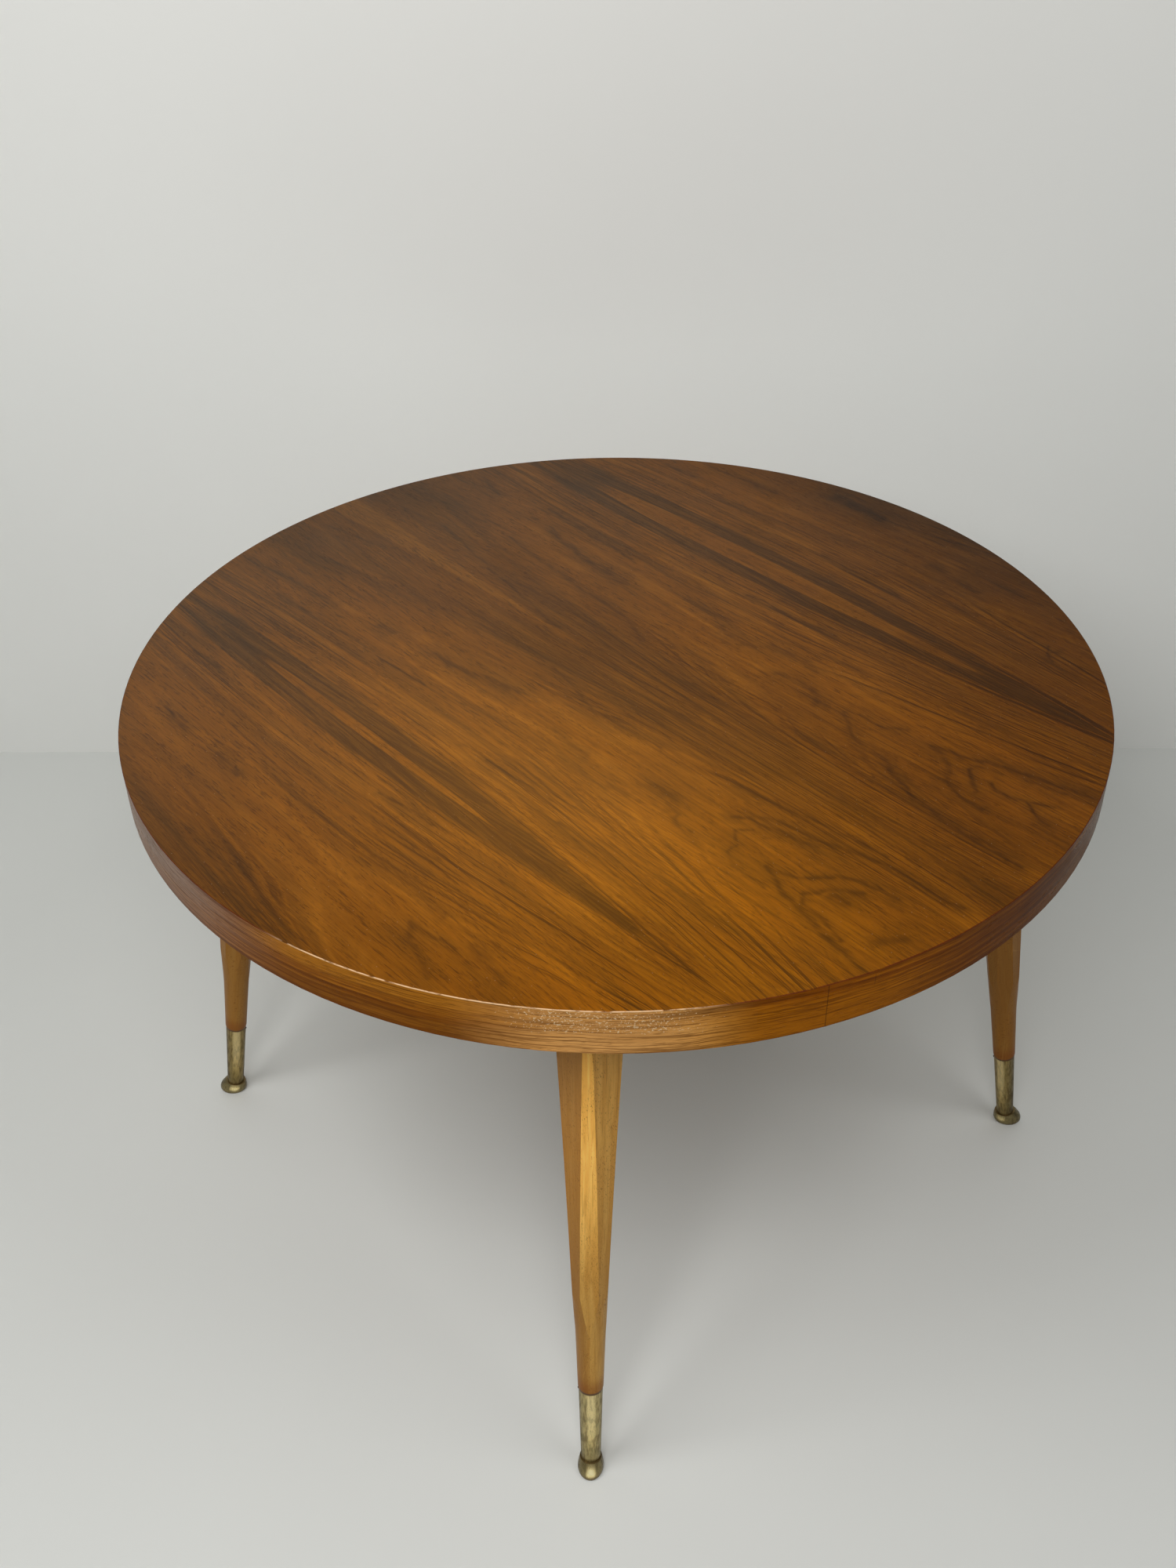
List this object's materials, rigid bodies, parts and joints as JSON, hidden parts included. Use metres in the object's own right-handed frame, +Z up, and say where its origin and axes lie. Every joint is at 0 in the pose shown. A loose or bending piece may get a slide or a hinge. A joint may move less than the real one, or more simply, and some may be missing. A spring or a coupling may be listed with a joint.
{
  "type": "round coffee table",
  "caption": "Round veneered table top with a deep edge on splayed square-to-round legs ending in brass ferrules and oval feet.",
  "frame": {"origin": "on the floor, straight under the middle of the round top", "axes": "+Z up, +X along the grain of the top veneer, legs at 45 degrees to X and Y"},
  "size_m": [0.85, 0.8499, 0.562],
  "materials": {
    "face_veneer": "book-matched walnut veneer under worn satin lacquer",
    "edge_veneer": "walnut edge veneer, grain running round, lacquered and worn",
    "leg_wood": "golden brown stained beech, satin lacquer",
    "core_wood": "bare laminated softwood board",
    "backing_veneer": "plain balancing veneer, thinly sealed",
    "edge_block_wood": "sawn hardwood, stained brown",
    "frame_wood": "planed beech, stained brown, thinly lacquered",
    "block_wood": "bare sawn beech with glue at its edges",
    "brass": "aged brass tube with dull mottled patina",
    "foot_brass": "aged brass, rubbed bright on the crown",
    "screw_steel": "plain steel, dulled",
    "nail_steel": "blackened iron"
  },
  "bodies": {
    "root": {"veneer_leaf_front": "face_veneer", "veneer_leaf_middle_front": "face_veneer", "veneer_leaf_middle_rear": "face_veneer", "veneer_leaf_rear": "face_veneer", "core_board": "core_wood", "backing_veneer": "backing_veneer", "edge_block_1": "edge_block_wood", "edge_block_2": "edge_block_wood", "edge_block_3": "edge_block_wood", "edge_block_4": "edge_block_wood", "edge_block_5": "edge_block_wood", "edge_block_6": "edge_block_wood", "edge_block_7": "edge_block_wood", "edge_block_8": "edge_block_wood", "edge_veneer_front": "edge_veneer", "edge_veneer_rear": "edge_veneer", "leg_rear_right": "leg_wood", "leg_rear_left": "leg_wood", "leg_front_left": "leg_wood", "leg_front_right": "leg_wood", "ferrule_rear_right": "brass", "ferrule_rear_left": "brass", "ferrule_front_left": "brass", "ferrule_front_right": "brass", "foot_rear_right": "foot_brass", "foot_rear_left": "foot_brass", "foot_front_left": "foot_brass", "foot_front_right": "foot_brass", "rail_front": "frame_wood", "rail_right": "frame_wood", "rail_rear": "frame_wood", "rail_left": "frame_wood", "corner_block_rear_right": "block_wood", "corner_block_rear_left": "block_wood", "corner_block_front_left": "block_wood", "corner_block_front_right": "block_wood", "top_screws": "screw_steel", "leg_screws": "screw_steel", "foot_screws": "screw_steel", "ferrule_nails": "nail_steel"}
  },
  "joints": []
}
